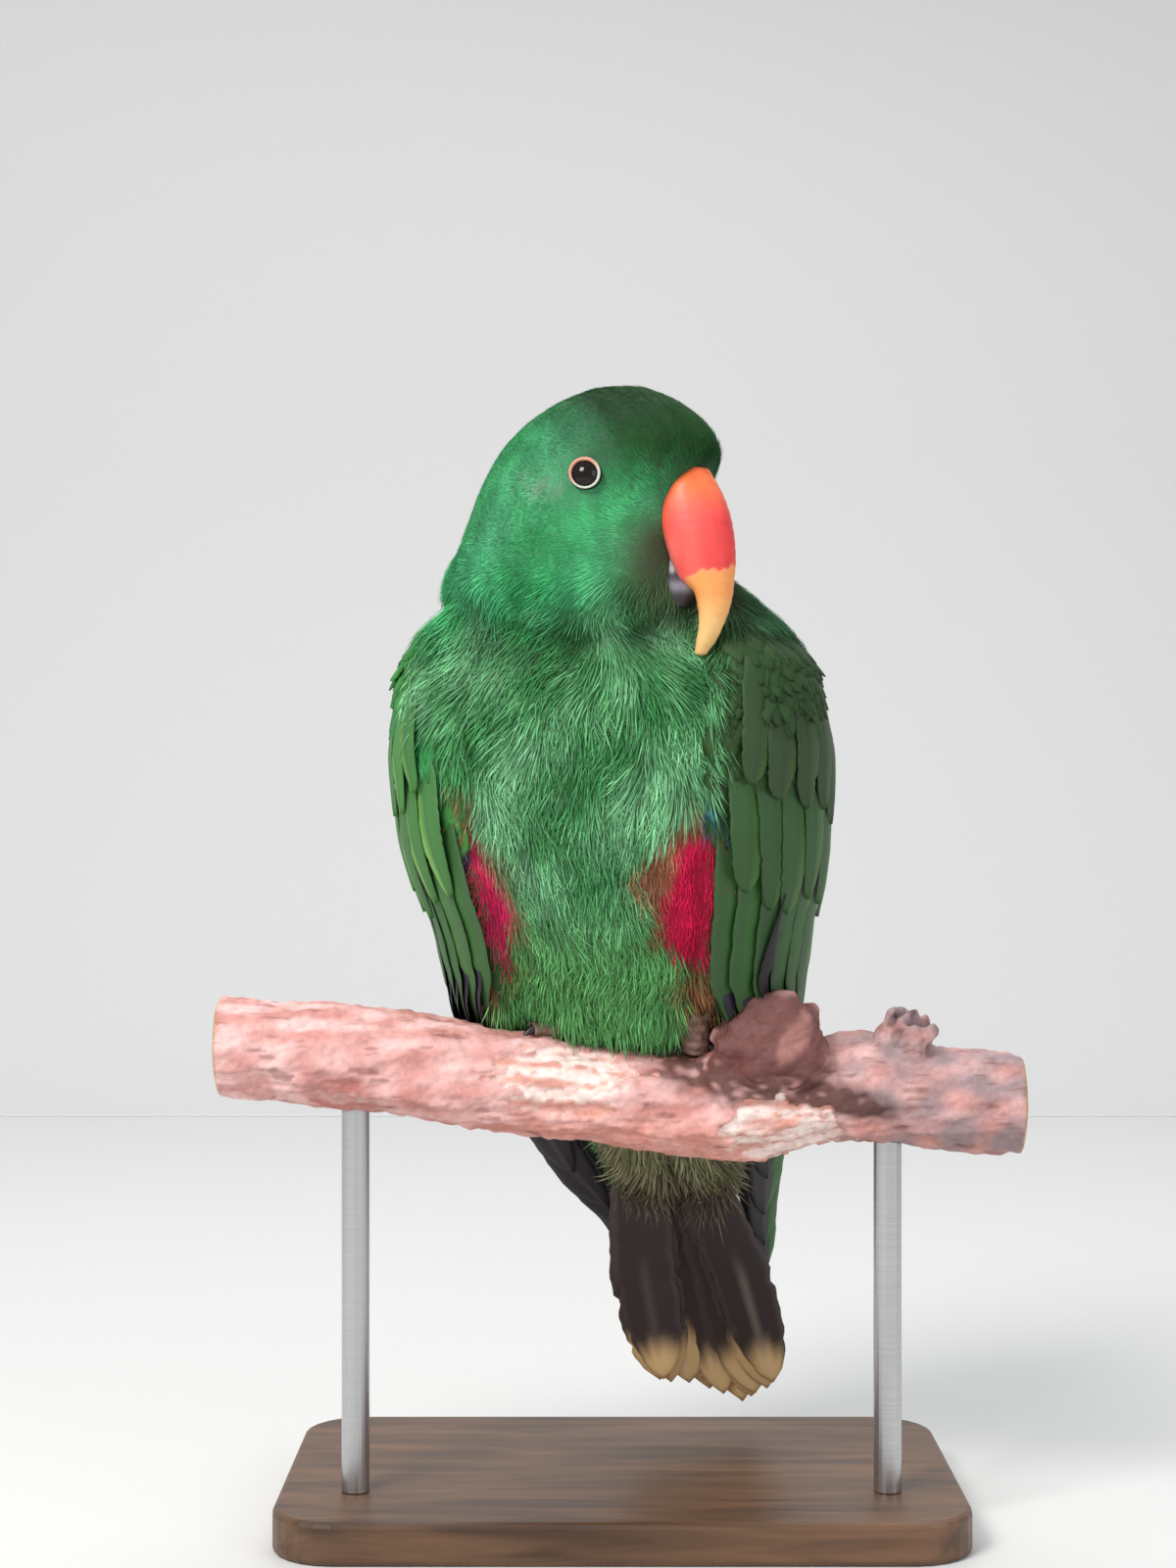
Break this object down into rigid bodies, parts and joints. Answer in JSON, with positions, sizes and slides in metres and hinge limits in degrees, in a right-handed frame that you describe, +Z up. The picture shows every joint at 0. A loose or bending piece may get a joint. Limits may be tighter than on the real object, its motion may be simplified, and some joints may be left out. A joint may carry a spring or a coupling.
{
  "type": "eclectus parrot model on perch",
  "caption": "Still life-size male eclectus parrot, green with a coral bill, perched on a cut branch held by a plain display stand.",
  "frame": {"origin": "on the underside of the stand's base, straight under the perch where the bird stands", "axes": "+Z up, -Y the way the bird faces, +X the bird's left"},
  "size_m": [0.229, 0.1389, 0.3246],
  "materials": {
    "plumage": "soft emerald green contour feathers",
    "wing_plumage": "smooth dark green wing feathers",
    "tail_plumage": "blackish brown feathers with tan tips",
    "bill_coral": "satin horn, coral to yellow",
    "bill_dark": "satin blackish horn",
    "eye": "polished, nearly black",
    "foot_skin": "grey-brown scaly skin",
    "branch": "pinkish brown bark with pale peeled patches",
    "stand_wood": "dark oiled wood",
    "stand_metal": "brushed"
  },
  "bodies": {
    "root": {"torso": "plumage", "neck": "plumage", "head": "plumage", "thigh_right": "plumage", "thigh_left": "plumage", "wing_right": "wing_plumage", "wing_left": "wing_plumage", "tail": "tail_plumage", "bill_upper": "bill_coral", "bill_lower": "bill_dark", "eye_right": "eye", "eye_left": "eye", "foot_right": "foot_skin", "foot_left": "foot_skin", "perch": "branch", "stand_base": "stand_wood", "stand_rod_left": "stand_metal", "stand_rod_right": "stand_metal"}
  },
  "joints": []
}
